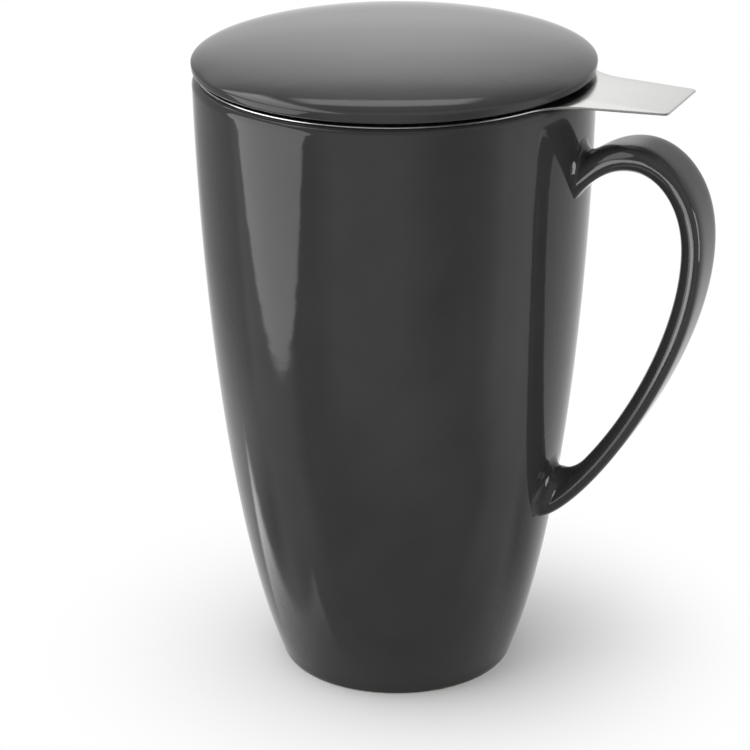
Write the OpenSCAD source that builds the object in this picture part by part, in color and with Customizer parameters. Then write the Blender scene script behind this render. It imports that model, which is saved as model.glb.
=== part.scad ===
// Lidded tea mug with a lift-out infuser.
// Millimetres. The origin is the middle of the foot ring's resting plane, +Z is up,
// and the handle and the infuser's thumb tab both point along +X.

/* [Mug] */
// Height of the mug's lip above the table
mug_h = 132.5; // [115:0.5:150]
// Outer radius of the mug just below its lip
rim_r = 42; // [39:0.5:45]
// Outer radius of the foot ring's flat contact face
foot_r = 24.4; // [22:0.1:27]
// Width of the foot ring's flat contact face
foot_w = 2.2; // [1.5:0.1:3]
// Depth of the recess inside the foot ring
foot_recess = 2; // [1.5:0.1:3]
// Thickness of the porcelain wall
wall_t = 3.6; // [3:0.1:4.5]
// Thickness of the porcelain under the tea
floor_t = 4; // [3:0.1:6]

/* [Handle] */
// Height at which the middle of the strap leaves the wall at the top
handle_top_z = 114.7; // [108:0.1:118]
// Height at which the middle of the strap meets the wall at the bottom
handle_low_z = 40.7; // [34:0.1:50]
// Reach of the strap's middle from the mug's axis
handle_reach = 66.8; // [60:0.1:75]
// Height of the strap's furthest point
handle_reach_z = 102.3; // [90:0.1:106]
// Strap width over the arch
handle_w = 12; // [9:0.1:16]
// Strap thickness over the arch
handle_d = 6.8; // [5:0.1:8]
// Radius of the slip fillet above the strap's top root
fillet_top = 3; // [1:0.1:5]
// Radius of the slip fillet above the strap's bottom root
fillet_low = 7; // [1:0.1:8]

/* [Lid] */
// Radius of the lid at its widest
lid_r = 42.1; // [39:0.05:46]
// Height of the lid above its seat
lid_h = 8.1; // [6:0.1:12]
// Thickness of the lid's crown
lid_t = 4.9; // [4:0.1:6]
// Outer radius of the ring that locates the lid in the infuser
ring_r = 33.1; // [30:0.1:34]
// Thickness of the locating ring
ring_t = 3; // [2.5:0.1:4]
// Depth of the locating ring below the seat
ring_h = 9; // [6:0.5:12]

/* [Infuser] */
// Outer radius of the steel flange that lies on the lip
flange_r = 41; // [38:0.1:43]
// Distance from the mug's axis to the end of the thumb tab
tab_reach = 62.7; // [55:0.1:70]
// Width of the thumb tab at its end
tab_end_w = 18.7; // [14:0.1:22]
// Angle by which each side of the tab opens towards the flange
tab_taper = 7; // [0:1:12]
// Radius of the hollow corner between the tab and the flange
tab_fillet = 12.5; // [6:0.5:16]
// Thickness of the pressed flange, tab and collar
flange_t = 0.5; // [0.4:0.05:0.8]
// Depth of the collar below the flange
collar_h = 8; // [5:0.5:12]
// Thickness of the perforated sheet
screen_t = 0.4; // [0.3:0.05:0.6]
// Outer radius of the screen inside its collar
screen_top_r = 34; // [33:0.1:35]
// Outer radius of the screen at its floor
screen_low_r = 29; // [26:0.1:30]
// Depth of the infuser below the lip
screen_h = 67; // [50:1:80]
// Diameter of one perforation
hole_d = 1.5; // [1:0.1:1.7]
// Rows of perforations up the screen
hole_rows = 13; // [6:1:15]
// Places for perforations around the screen, one of them left plain for the seam
holes_round = 44; // [24:1:46]
// Rings of perforations in the infuser's floor
floor_rings = 6; // [3:1:7]

/* [Hidden] */

// Steps in each smooth stretch of a profile
steps = 24;
// Air left where one piece only rests on another
seat_gap = 0.05;
// Overlap that carries a cut past the face it starts from
past = 1;

// Mug: the wall is one cubic curve from the foot's rounded edge to the lip's
lip_t = 3.2;
lip_h = 2;
foot_edge = [1.65, 3];
wall_low = [foot_r + foot_edge[0], foot_edge[1]];
wall_high = [rim_r, mug_h - lip_h];
wall_run = wall_high[1] - wall_low[1];
wall_low_lean = 20.4;
wall_high_lean = 0.7;
wall_low_pull = 0.239 * wall_run;
wall_high_pull = 0.328 * wall_run;
inside_z = foot_recess + floor_t;
inside_flat_r = 14;
inside_pull = 7;

// Infuser: heights from the lip down
flange_z = mug_h + seat_gap;
flange_top = flange_z + flange_t;
collar_r = screen_top_r + flange_t;
collar_bend = 1.2;
screen_top = flange_z - collar_bend;
screen_low = flange_z - screen_h;
band_top = 11;
band_low = 4;
hem_h = 3;

// Lid: heights above its seat
lid_z = flange_top + seat_gap;
lid_edge_z = lid_z + 2.25;
lid_under_r = lid_r - 1.15;
lid_under_z = lid_z + 0.9;
lid_seat_r = 38;
lid_round = 1;

// Handle: the middle of the strap in the XZ plane, from inside the wall to inside the wall
strap_rings = 52;
strap_sides = 32;
strap_bury = 9;
strap_top_rise = 50;
strap_top_pull = 15.9;
strap_far_pulls = [18.3, 25.4];
strap_low_rise = 11;
strap_low_pull = 8.5;
strap_crowding = 0.75;
// Shares of its width and thickness at places along the strap, and the share of the
// thickness that lies inside its widest line
strap_stations = [0, 0.2, 0.35, 0.5, 0.75, 1];
strap_widths = [0.75, 1, 0.95, 0.9, 0.85, 0.83];
strap_depths = [0.74, 1, 1.04, 0.92, 0.71, 0.77];
strap_inner = [0.6, 0.66, 0.7, 0.7, 0.66, 0.6];
// Roundness of the section's inner and outer half: 2 is an ellipse, more is squarer
strap_inner_powers = [4, 2.3, 2.2, 2.1, 2.1, 2.2];
strap_outer_powers = [2.6, 2.6, 2.6, 2.6, 2.8, 3.4];
strap_fillets = [fillet_top, fillet_top, fillet_top, fillet_low, fillet_low, fillet_low];
fillet_below = 0.1;
// Distance from the wall over which the sections turn from along the wall to square
strap_turn = 9;

// A point of a cubic Bezier curve
function cubic(a, b, c, d, t) =
    pow(1 - t, 3) * a + 3 * pow(1 - t, 2) * t * b + 3 * (1 - t) * t * t * c + pow(t, 3) * d;

// A whole cubic Bezier curve in n steps, without its first point
function cubic_run(a, b, c, d, n = steps) = [for (i = [1:n]) cubic(a, b, c, d, i / n)];

// A vector of a given length and direction
function polar(length, angle) = length * [cos(angle), sin(angle)];

// The mug's outer wall, t from 0 at the foot to 1 at the lip
function wall(t) = cubic(
    wall_low,
    wall_low + wall_low_pull * [sin(wall_low_lean), cos(wall_low_lean)],
    wall_high - wall_high_pull * [sin(wall_high_lean), cos(wall_high_lean)],
    wall_high, t);

// The mug's inner wall: the outer one moved in, thinner towards the lip
function inner_wall(t) =
    let (along = wall(t + 0.001) - wall(t - 0.001),
         inward = [-along[1], along[0]] / norm(along),
         thick = wall_t + (lip_t - wall_t) * t * t * t)
    wall(t) + thick * inward;

// The outside of the mug from the foot's contact face to the lip's outer edge
foot_curve = concat([[foot_r, 0]], cubic_run(
    [foot_r, 0], [foot_r + 0.9, 0],
    wall_low - 1.2 * [sin(wall_low_lean), cos(wall_low_lean)], wall_low, 6));
outer_curve = concat(foot_curve, [for (i = [1:steps]) wall(i / steps)]);

module mug_outside() {
    rotate_extrude($fn = 180)
        polygon(concat([[0, 0]], outer_curve, [[0, wall_high[1]]]));
}

module mug_body() {
    inner_start = 0.1;
    crown_r = rim_r - lip_t / 2;
    crown = [for (a = [15:15:165]) [crown_r + lip_t / 2 * cos(a), wall_high[1] + lip_h * sin(a)]];
    inner_curve = [for (i = [steps:-1:0]) inner_wall(inner_start + (1 - inner_start) * i / steps)];
    corner = inner_wall(inner_start);
    corner_dir = inner_wall(inner_start + 0.01) - corner;
    floor_curve = cubic_run(
        corner, corner - inside_pull * corner_dir / norm(corner_dir),
        [inside_flat_r + inside_pull, inside_z], [inside_flat_r, inside_z], 10);
    ring_in = foot_r - foot_w;
    recess_curve = cubic_run(
        [0, foot_recess], [ring_in - 3, foot_recess],
        [ring_in - 0.8, 0.8], [ring_in, 0], 8);
    color([0.15, 0.15, 0.155])
        rotate_extrude($fn = 180)
            polygon(concat(outer_curve, crown, inner_curve, floor_curve,
                [[0, inside_z], [0, foot_recess]], recess_curve));
}

// Radius of the mug's outside at a height
outer_table = [for (p = outer_curve) [p[1], p[0]]];
function outside_r(z) = lookup(z, outer_table);

// What a fillet of radius r adds at distance d from the wall it runs into
function fillet(r, d) = d <= 0 ? r : d >= r ? 0 : r - sqrt(r * r - (r - d) * (r - d));

// 0 to 1 with a soft start and end
function ease(t) = let (u = min(max(t, 0), 1)) u * u * (3 - 2 * u);

// Slope at station i of a measure given at the strap's stations
function slope(v, i) = i == 0 || i == len(v) - 1 ? 0
    : (v[i + 1] - v[i - 1]) / (strap_stations[i + 1] - strap_stations[i - 1]);

// Value of such a measure at s, on a smooth curve through them all
function along_strap(v, s) =
    let (i = len([for (k = [1:len(v) - 2]) if (s >= strap_stations[k]) k]),
         gap = strap_stations[i + 1] - strap_stations[i],
         t = (s - strap_stations[i]) / gap)
    v[i] + (v[i + 1] - v[i]) * ease(t)
        + gap * t * (1 - t) * (slope(v, i) * (1 - t) - slope(v, i + 1) * t);

// The middle of the strap in the XZ plane, s from 0 at the top of the wall to 1 at the bottom
function strap_mid(s) =
    let (top = [outside_r(handle_top_z), handle_top_z],
         far = [handle_reach, handle_reach_z],
         low = [outside_r(handle_low_z) - 1, handle_low_z])
    s < 0.5
        ? cubic(top, top + polar(strap_top_pull, strap_top_rise),
            far + [0, strap_far_pulls[0]], far, 2 * s)
        : cubic(far, far - [0, strap_far_pulls[1]],
            low + polar(strap_low_pull, strap_low_rise), low, 2 * s - 1);

// Place of ring i along the strap, with the rings crowded towards the wall
function ring_place(i) =
    let (t = min(max((i - 1) / (strap_rings - 2), 0), 1))
    t - strap_crowding * sin(360 * t) / (2 * PI);

// Middle of ring i, with the first and last ring buried in the wall
function ring_mid(i) =
    i == 0 ? strap_mid(0) - polar(strap_bury, strap_top_rise)
    : i == strap_rings ? strap_mid(1) - polar(strap_bury, strap_low_rise)
    : strap_mid(ring_place(i));

// Direction across ring i in the XZ plane: square to the strap, but along the wall beside it.
// Its length keeps the strap's thickness where the ring is turned.
function ring_out(i) =
    let (mid = ring_mid(i),
         along = ring_mid(min(i + 1, strap_rings)) - ring_mid(max(i - 1, 0)),
         square = [-along[1], along[0]] / norm(along),
         rise = [outside_r(mid[1] + 1) - outside_r(mid[1] - 1), 2],
         up_wall = sign(square[1]) * rise / norm(rise),
         turned = ease((mid[0] - outside_r(mid[1])) / strap_turn),
         out = (1 - turned) * up_wall + turned * square)
    out / (out * square);

// A point of the strap's skin: bare is its width and depth in the ring, and extra is
// how far the fillet carries it out in the direction of angle a
function skin(mid, out, bare, a, extra) =
    let (depth = bare[1] + extra * sin(a))
    [mid[0] + depth * out[0], bare[0] + extra * cos(a), mid[1] + depth * out[1]];

// The extra that puts a skin point on the fillet, closed in on between low and high
function swell(mid, out, bare, a, radius, low, high, n = 10) =
    let (extra = (low + high) / 2,
         p = skin(mid, out, bare, a, extra),
         from_wall = norm([p[0], p[1]]) - outside_r(p[2]))
    n == 0 ? low
    : extra > fillet(radius, from_wall) ? swell(mid, out, bare, a, radius, low, extra, n - 1)
    : swell(mid, out, bare, a, radius, extra, high, n - 1);

module handle() {
    function bulge(v, power) = sign(v) * pow(abs(v), 2 / power);
    rings = [for (i = [0:strap_rings])
        let (s = ring_place(i),
             mid = ring_mid(i),
             out = ring_out(i),
             half_w = handle_w * along_strap(strap_widths, s) / 2,
             depth = handle_d * along_strap(strap_depths, s),
             inner = depth * along_strap(strap_inner, s))
        [for (k = [0:strap_sides - 1])
            let (a = 360 * k / strap_sides,
                 inside = sin(a) < 0,
                 power = along_strap(inside ? strap_inner_powers : strap_outer_powers, s),
                 half_d = inside ? inner : depth - inner,
                 bare = [half_w * bulge(cos(a), power),
                     inner - depth / 2 + half_d * bulge(sin(a), power)],
                 above = pow((1 + sin(a) * sign(out[1])) / 2, 2),
                 radius = fillet_below + (along_strap(strap_fillets, s) - fillet_below) * above)
            skin(mid, out, bare, a, swell(mid, out, bare, a, radius, 0, radius))]];
    last = strap_rings * strap_sides;
    quads = [for (i = [0:strap_rings - 1], k = [0:strap_sides - 1])
        let (n = (k + 1) % strap_sides, a = i * strap_sides, b = a + strap_sides)
        [a + k, b + k, b + n, a + n]];
    color([0.15, 0.15, 0.155])
        difference() {
            polyhedron(
                points = [for (ring = rings, p = ring) p],
                faces = concat(quads,
                    [[for (k = [0:strap_sides - 1]) k]],
                    [[for (k = [strap_sides - 1:-1:0]) last + k]]),
                convexity = 6);
            mug_outside();
        }
}

// The thumb tab's outline, with a hollow corner on each side where it leaves the flange
module tab_outline() {
    end_half = tab_end_w / 2;
    corner_r = 1.2;
    // The fillet's centre is one radius from the flange's edge and from the tab's side
    side_dir = [-cos(tab_taper), sin(tab_taper)];
    side_out = [sin(tab_taper), cos(tab_taper)];
    side_gap = side_out * [tab_reach, end_half];
    centre_r = flange_r + tab_fillet;
    centre_a = 90 - tab_taper - acos((side_gap + tab_fillet) / centre_r);
    centre = polar(centre_r, centre_a);
    from = 180 + centre_a;
    to = 270 - tab_taper;
    hollow = [for (i = [0:10]) centre + polar(tab_fillet, from + (to - from) * i / 10)];
    tip = [tab_reach - corner_r, end_half - corner_r];
    rounded = [for (a = [90 - tab_taper:-(90 - tab_taper) / 4:-0.01]) tip + polar(corner_r, a)];
    upper = concat(hollow, rounded);
    lower = [for (i = [len(upper) - 1:-1:0]) [upper[i][0], -upper[i][1]]];
    polygon(concat([[screen_top_r + past, 0]], upper, lower));
}

module infuser_rim() {
    bend_in = collar_bend;
    bend_out = collar_bend + flange_t;
    bend_mid = [screen_top_r + bend_out, flange_top - bend_out];
    inner_bend = [for (a = [180:-15:90]) bend_mid + polar(bend_out, a)];
    outer_bend = [for (a = [90:15:180]) bend_mid + polar(bend_in, a)];
    color([0.76, 0.76, 0.74])
        union() {
            rotate_extrude($fn = 180)
                polygon(concat([[screen_top_r, flange_z - collar_h]], inner_bend,
                    [[flange_r, flange_top], [flange_r, flange_z]], outer_bend,
                    [[collar_r, flange_z - collar_h]]));
            translate([0, 0, flange_z])
                linear_extrude(flange_t)
                    tab_outline();
        }
}

// A ring of flat panels through loops of [radius, height], closed back on its first loop
module panel_ring(loops, panels) {
    rim = [for (loop = loops, k = [0:panels - 1]) concat(polar(loop[0], 360 * k / panels), loop[1])];
    quads = [for (i = [0:len(loops) - 1], k = [0:panels - 1])
        let (a = i * panels, b = ((i + 1) % len(loops)) * panels, n = (k + 1) % panels)
        [a + k, b + k, b + n, a + n]];
    polyhedron(points = rim, faces = quads, convexity = 6);
}

// The screen is rolled in narrow flats, two to a column of perforations, so each hole is round.
// Every second row is shifted by one flat, and the first column is left plain for the seam.
module infuser_screen() {
    taper_low = screen_low + band_low;
    taper_h = flange_z - band_top - taper_low;
    lean = atan((screen_top_r - screen_low_r) / taper_h);
    first_row = 1 + hole_d;
    row_gap = (taper_h - 2 * first_row) / (hole_rows - 1);
    panels = 2 * holes_round;
    flat_r = screen_low_r * cos(180 / panels);
    color([0.7, 0.7, 0.69])
        difference() {
            panel_ring([
                [screen_low_r, screen_low], [screen_low_r, taper_low],
                [screen_top_r, taper_low + taper_h], [screen_top_r, screen_top],
                [screen_top_r - screen_t, screen_top],
                [screen_top_r - screen_t, taper_low + taper_h],
                [screen_low_r - screen_t, taper_low], [screen_low_r - screen_t, screen_low]],
                panels);
            for (row = [0:hole_rows - 1], place = [1:holes_round - 1])
                let (up = first_row + row * row_gap)
                    rotate([0, 0, 180 + (2 * place + row % 2 + 0.5) * 360 / panels])
                        translate([flat_r + up * tan(lean), 0, taper_low + up])
                            rotate([0, 90 + lean, 0])
                                cylinder(h = 4 * screen_t, d = hole_d, center = true, $fn = 16);
        }
}

module infuser_floor() {
    disc_r = screen_low_r + screen_t;
    ring_step = (screen_low_r - 3) / floor_rings;
    color([0.7, 0.7, 0.69])
        difference() {
            union() {
                translate([0, 0, screen_low - screen_t])
                    cylinder(h = screen_t, r = disc_r, $fn = 180);
                translate([0, 0, screen_low])
                    difference() {
                        cylinder(h = hem_h, r = disc_r, $fn = 180);
                        translate([0, 0, -past])
                            cylinder(h = hem_h + 2 * past, r = screen_low_r, $fn = 180);
                    }
            }
            for (ring = [0:floor_rings], place = [0:max(6 * ring - 1, 0)])
                rotate([0, 0, ring == 0 ? 0 : place * 60 / ring])
                    translate([ring * ring_step, 0, screen_low - screen_t - past])
                        cylinder(h = screen_t + 2 * past, d = hole_d, $fn = 16);
        }
}

module lid() {
    crown = cubic_run(
        [0, lid_z + lid_h], [23, lid_z + lid_h], [lid_r, lid_edge_z + 1.8], [lid_r, lid_edge_z]);
    under = cubic_run(
        [lid_r, lid_edge_z], [lid_r, lid_edge_z - 0.8],
        [lid_under_r + 0.5, lid_under_z], [lid_under_r, lid_under_z], 6);
    ring_in = ring_r - ring_t;
    ring_z = lid_z - ring_h;
    ceiling = lid_z + lid_h - lid_t;
    ring_foot = concat(
        [for (a = [0:-30:-90]) [ring_r - lid_round, ring_z + lid_round] + polar(lid_round, a)],
        [for (a = [-90:-30:-180]) [ring_in + lid_round, ring_z + lid_round] + polar(lid_round, a)]);
    recess_round = 3;
    recess_mid = [ring_in - recess_round, ceiling - recess_round];
    recess = [for (a = [0:15:90]) recess_mid + polar(recess_round, a)];
    color([0.15, 0.15, 0.155])
        rotate_extrude($fn = 180)
            polygon(concat([[0, lid_z + lid_h]], crown, under,
                [[lid_seat_r, lid_z], [ring_r, lid_z]], ring_foot, recess, [[0, ceiling]]));
}

mug_body();
handle();
infuser_rim();
infuser_screen();
infuser_floor();
lid();
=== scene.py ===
"""Looks for the lidded tea mug with a lift-out infuser.

Metres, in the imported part's frame: the origin is the middle of the foot ring's resting
plane, +Z is up, and the handle and the thumb tab point along +X. Profiles are written in
millimetres and turned into metres where their meshes are made.
"""

import math
import bpy
import numpy as np
from mathutils import Matrix, Vector


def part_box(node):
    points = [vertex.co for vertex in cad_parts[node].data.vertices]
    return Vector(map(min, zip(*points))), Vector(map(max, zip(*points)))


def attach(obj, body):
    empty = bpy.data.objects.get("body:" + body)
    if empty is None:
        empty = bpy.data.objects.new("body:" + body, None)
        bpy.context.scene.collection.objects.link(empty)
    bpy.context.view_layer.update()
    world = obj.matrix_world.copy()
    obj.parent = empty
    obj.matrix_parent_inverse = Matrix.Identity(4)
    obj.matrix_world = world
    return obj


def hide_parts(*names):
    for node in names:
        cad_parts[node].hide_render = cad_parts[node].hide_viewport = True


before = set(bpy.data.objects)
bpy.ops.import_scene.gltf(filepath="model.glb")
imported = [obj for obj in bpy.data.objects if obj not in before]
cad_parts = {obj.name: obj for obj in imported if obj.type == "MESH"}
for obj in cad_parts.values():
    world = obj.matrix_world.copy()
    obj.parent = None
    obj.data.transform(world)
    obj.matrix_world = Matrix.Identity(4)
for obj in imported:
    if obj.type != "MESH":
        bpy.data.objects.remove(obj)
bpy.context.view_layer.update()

MM = 0.001
ROUND = 256        # segments round the mug's axis
STEPS = 64         # steps in one smooth stretch of a profile


# ---------------------------------------------------------------- sizes, from the frame

def box_mm(node):
    """Lowest and highest corner of a CAD node, in millimetres."""
    low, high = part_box(node)
    return low / MM, high / MM


mug_high = box_mm("mug_body")[1]
rim_low, rim_high = box_mm("infuser_rim")
screen_low, screen_high = box_mm("infuser_screen")
floor_high = box_mm("infuser_floor")[1]
lid_low, lid_high = box_mm("lid")

MUG_H = mug_high.z
RIM_R = round(mug_high.x, 1)
FOOT_R = 24.4           # the foot ring's outer radius
FOOT_W = 2.2            # and how wide its contact face is
FOOT_RECESS = 2.0       # how deep the hollow inside the foot ring is
BARE_BELOW = 0.35       # the foot's glaze stops this high
WALL_T = 3.6            # the wall's thickness at the foot
LIP_T = 3.2             # and at the lip
LIP_H = 2.0             # how high the lip's rounding is
FLOOR_T = 4.0           # the bottom's thickness

FLANGE_R = 41.0
FLANGE_T = 0.5
FLANGE_TOP = rim_high.z
COLLAR_LOW = rim_low.z
TAB_REACH = rim_high.x
TAB_END_W = 18.7
TAB_TAPER = 7           # degrees between each side and the tab's middle line
TAB_FILLET = 12.5       # where the tab's sides run into the flange
TAB_CORNER = 1.2

SCREEN_T = 0.4
SCREEN_TOP_R = screen_high.x
SCREEN_LOW_R = 29.0
SCREEN_LOW_Z = screen_low.z
SCREEN_TOP_Z = screen_high.z
BAND_TOP = 9.8          # the plain bands above and below the perforations
BAND_LOW = 4.0
HOLE_R = 0.56
HOLE_SIDES = 8          # as many as a cell of the screen has corners
HEM_TOP = floor_high.z

LID_R = lid_high.x
LID_TOP = lid_high.z
LID_H = 8.1
LID_SEAT = LID_TOP - LID_H
LID_T = 4.9             # thickness in the middle
RING_R = 33.1           # the ring below the lid: outer radius and thickness
RING_T = 3.0
RING_LOW = lid_low.z


# ---------------------------------------------------------------- curves

def cubic(a, b, c, d, t):
    """Points of a cubic Bezier curve at each t."""
    a, b, c, d = (np.asarray(p, float) for p in (a, b, c, d))
    t = np.atleast_1d(t)[:, None]
    return (1 - t) ** 3 * a + 3 * (1 - t) ** 2 * t * b + 3 * (1 - t) * t * t * c + t ** 3 * d


def run(a, b, c, d, n):
    """A whole cubic Bezier curve in n steps, without its first point."""
    return cubic(a, b, c, d, np.arange(1, n + 1) / n)


def arc(centre, radius, start, stop, n):
    """Points of an arc in degrees, both ends included."""
    angle = np.radians(np.linspace(start, stop, n + 1))
    return np.stack([centre[0] + radius * np.cos(angle), centre[1] + radius * np.sin(angle)], 1)


def polar(length, degrees):
    """A vector in a plane, by its length and its direction."""
    angle = math.radians(degrees)
    return np.array([length * math.cos(angle), length * math.sin(angle)])


def even(points, step):
    """The same outline with its long straight stretches cut into steps."""
    out = [points[0]]
    for here, there in zip(points[:-1], points[1:]):
        parts = max(1, math.ceil(np.linalg.norm(there - here) / step))
        for i in range(1, parts + 1):
            out.append(here + (there - here) * i / parts)
    return np.array(out)


def ease(t):
    """From 0 to 1 with level ends."""
    return t * t * (3 - 2 * t)


# ---------------------------------------------------------------- meshes

def add_object(name, data):
    """A new object in the scene, from its mesh, curve, camera or lamp."""
    piece = bpy.data.objects.new(name, data)
    bpy.context.scene.collection.objects.link(piece)
    return piece


def make_object(name, vertices_mm, faces, smooth_angle=35.0):
    """A smooth-shaded object in the part's frame. Edges sharper than the angle stay sharp."""
    mesh = bpy.data.meshes.new(name)
    mesh.from_pydata((np.asarray(vertices_mm) * MM).tolist(), [], faces)
    mesh.validate()
    mesh.update()
    mesh.shade_smooth()
    mesh.set_sharp_from_angle(angle=math.radians(smooth_angle))
    return add_object(name, mesh)


def circles(profile):
    """A circle of points round the axis for each radius and height of a profile."""
    angle = np.arange(ROUND) * 2 * math.pi / ROUND
    return [np.stack([r * np.cos(angle), r * np.sin(angle), np.full(ROUND, z)], 1)
            for r, z in profile]


def lathe(name, profile):
    """A closed solid of revolution. The profile runs from the axis back to the axis."""
    inner = profile[1:-1]
    vertices = np.concatenate([[[0, 0, profile[0][1]]], *circles(inner),
                               [[0, 0, profile[-1][1]]]])
    last = len(vertices) - 1
    end = last - ROUND
    faces = []
    for k in range(ROUND):
        n = (k + 1) % ROUND
        faces.append((0, 1 + n, 1 + k))
        for i in range(len(inner) - 1):
            a = 1 + i * ROUND
            b = a + ROUND
            faces.append((a + k, a + n, b + n, b + k))
        faces.append((last, end + k, end + n))
    return make_object(name, vertices, faces)


def tube(sides, rings):
    """Faces between rings of points, and from the last ring to the first."""
    faces = []
    for i in range(rings):
        a = i * sides
        b = ((i + 1) % rings) * sides
        for k in range(sides):
            n = (k + 1) % sides
            faces.append((a + k, a + n, b + n, b + k))
    return faces


# ---------------------------------------------------------------- mug

FOOT_H = 3.0            # the wall's own curve starts this high
FOOT_FLARE = 1.65       # and this far outside the foot ring
FOOT_PULLS = (0.9, 1.2)     # how far the curve between them keeps each end's direction
RECESS_ROUND = 3.0      # the edge of the hollow under the foot: how far its curve keeps level
RECESS_BEVEL = 0.8      # and where it turns towards the contact face

WALL_LOW = np.array([FOOT_R + FOOT_FLARE, FOOT_H])
WALL_HIGH = np.array([RIM_R, MUG_H - LIP_H])
WALL_RUN = WALL_HIGH[1] - WALL_LOW[1]
WALL_LOW_LEAN = 20.4    # degrees from upright
WALL_HIGH_LEAN = 0.7
WALL_LOW_PULL = 0.239   # of the wall's run
WALL_HIGH_PULL = 0.328

LIP_STEP = 7.5          # degrees
INSIDE_FROM = 0.1       # the inner wall's lowest t, where the rounded bottom takes over
INSIDE_FLAT_R = 14.0    # the flat middle of the bottom
INSIDE_PULL = 7.0       # how far the curve between them keeps each end's direction


def wall(t):
    """The outer wall, t from 0 at the foot to 1 at the lip."""
    low = WALL_LOW_PULL * WALL_RUN * polar(1, 90 - WALL_LOW_LEAN)
    high = WALL_HIGH_PULL * WALL_RUN * polar(1, 90 - WALL_HIGH_LEAN)
    return cubic(WALL_LOW, WALL_LOW + low, WALL_HIGH - high, WALL_HIGH, t)


def inner_wall(t):
    """The outer wall moved in by the porcelain's thickness, thinner towards the lip."""
    t = np.atleast_1d(t)
    nearby = 0.001
    along = wall(t + nearby) - wall(t - nearby)
    along /= np.linalg.norm(along, axis=1)[:, None]
    inward = np.stack([-along[:, 1], along[:, 0]], 1)
    thick = WALL_T + (LIP_T - WALL_T) * t ** 3
    return wall(t) + thick[:, None] * inward


def foot_curve(n):
    """The round edge between the foot's contact face and the wall."""
    edge = WALL_LOW - FOOT_PULLS[1] * polar(1, 90 - WALL_LOW_LEAN)
    return run((FOOT_R, 0), (FOOT_R + FOOT_PULLS[0], 0), edge, WALL_LOW, n)


def mug_profile():
    """From the middle of the recess under the foot, out, up, over the lip and back in."""
    ring_in = FOOT_R - FOOT_W
    recess = run((0, FOOT_RECESS), (ring_in - RECESS_ROUND, FOOT_RECESS),
                 (ring_in - RECESS_BEVEL, RECESS_BEVEL), (ring_in, 0), 24)
    contact = [[FOOT_R - FOOT_W / 2, 0], [FOOT_R, 0]]
    outer = wall(np.arange(1, STEPS + 1) / STEPS)
    angle = np.radians(np.arange(LIP_STEP, 180, LIP_STEP))
    crown_r = RIM_R - LIP_T / 2
    crown = np.stack([crown_r + LIP_T / 2 * np.cos(angle),
                      MUG_H - LIP_H + LIP_H * np.sin(angle)], 1)
    inner = inner_wall(np.linspace(1, INSIDE_FROM, STEPS + 1))
    corner = inner[-1]
    downward = inner[-1] - inner[-2]
    downward /= np.linalg.norm(downward)
    inside_z = FOOT_RECESS + FLOOR_T
    bottom = run(corner, corner + INSIDE_PULL * downward,
                 (INSIDE_FLAT_R + INSIDE_PULL, inside_z), (INSIDE_FLAT_R, inside_z), 20)
    middle = [[INSIDE_FLAT_R / 2, inside_z], [0, inside_z]]
    return np.concatenate([[[0, FOOT_RECESS]], recess, contact, foot_curve(12), outer, crown,
                           inner, bottom, middle])


def outside_r(z):
    """Radius of the mug's outside at a height."""
    fine = 4 * STEPS
    outer = np.concatenate([[[FOOT_R, 0]], foot_curve(24), wall(np.arange(1, fine + 1) / fine)])
    return np.interp(z, outer[:, 1], outer[:, 0])


# ---------------------------------------------------------------- handle

STRAP_TOP_Z = 114.7     # where the strap's middle line meets the wall
STRAP_LOW_Z = 40.7
STRAP_REACH = 66.8      # its place furthest from the axis
STRAP_REACH_Z = 102.3
STRAP_TOP_RISE = 50     # its direction at each root, in degrees above level
STRAP_LOW_RISE = 11
STRAP_TOP_PULL = 15.9   # and how far it keeps it
STRAP_LOW_PULL = 8.5
STRAP_FAR_PULLS = (18.3, 25.4)      # the same up and down from its furthest place
STRAP_LOW_INSET = 1.0   # the low root's place inside the wall's face

# The strap's section at stations from its top root to its low one. Its widest line parts it
# in an inner and an outer half, each with its own power: 2 is an ellipse, more is squarer.
# OUTER_CROWNS make the outer half shallower than STRAP_DEPTHS leave it.
STRAP_STATIONS = (0, 0.2, 0.35, 0.5, 0.75, 1)
STRAP_WIDTHS = (9.0, 12.0, 11.4, 10.8, 10.2, 10.0)
STRAP_DEPTHS = (5.03, 6.8, 7.07, 6.26, 4.83, 5.24)
STRAP_SHARES = (0.60, 0.66, 0.70, 0.70, 0.66, 0.60)         # of the depth, in the inner half
INNER_POWERS = (4.0, 2.3, 2.2, 2.1, 2.1, 2.2)
OUTER_POWERS = (2.6, 3.6, 4.2, 4.2, 3.6, 3.2)
OUTER_CROWNS = (1.0, 0.845, 0.68, 0.685, 0.81, 0.89)
FILLETS_UP = (3.0, 3.0, 3.0, 7.0, 7.0, 7.0)     # radii on the upper side of each root
FILLET_BELOW = 0.1                              # and on its lower side

TURN_GAP = 9.0          # the sections turn parallel to the wall over this distance
STRAP_RINGS = 168
STRAP_SIDES = 72
STRAP_CROWDING = 0.75   # how much closer the rings stand at the roots
STRAP_BURY = 3.4        # how deep the top end goes into the wall
STRAP_LOW_BURY = 0.7    # of that, at the low end
STRAP_BURY_STEPS = (0.3, 0.6, 1.0)


def along_strap(values, s):
    """A measure given at the strap's stations, on a smooth curve through them all."""
    stations, values = np.array(STRAP_STATIONS), np.array(values)
    slopes = np.zeros(len(values))
    slopes[1:-1] = (values[2:] - values[:-2]) / (stations[2:] - stations[:-2])
    i = np.clip(np.searchsorted(stations, s, side="right") - 1, 0, len(values) - 2)
    gap = stations[i + 1] - stations[i]
    t = (s - stations[i]) / gap
    return (values[i] + (values[i + 1] - values[i]) * ease(t)
            + gap * t * (1 - t) * (slopes[i] * (1 - t) - slopes[i + 1] * t))


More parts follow.
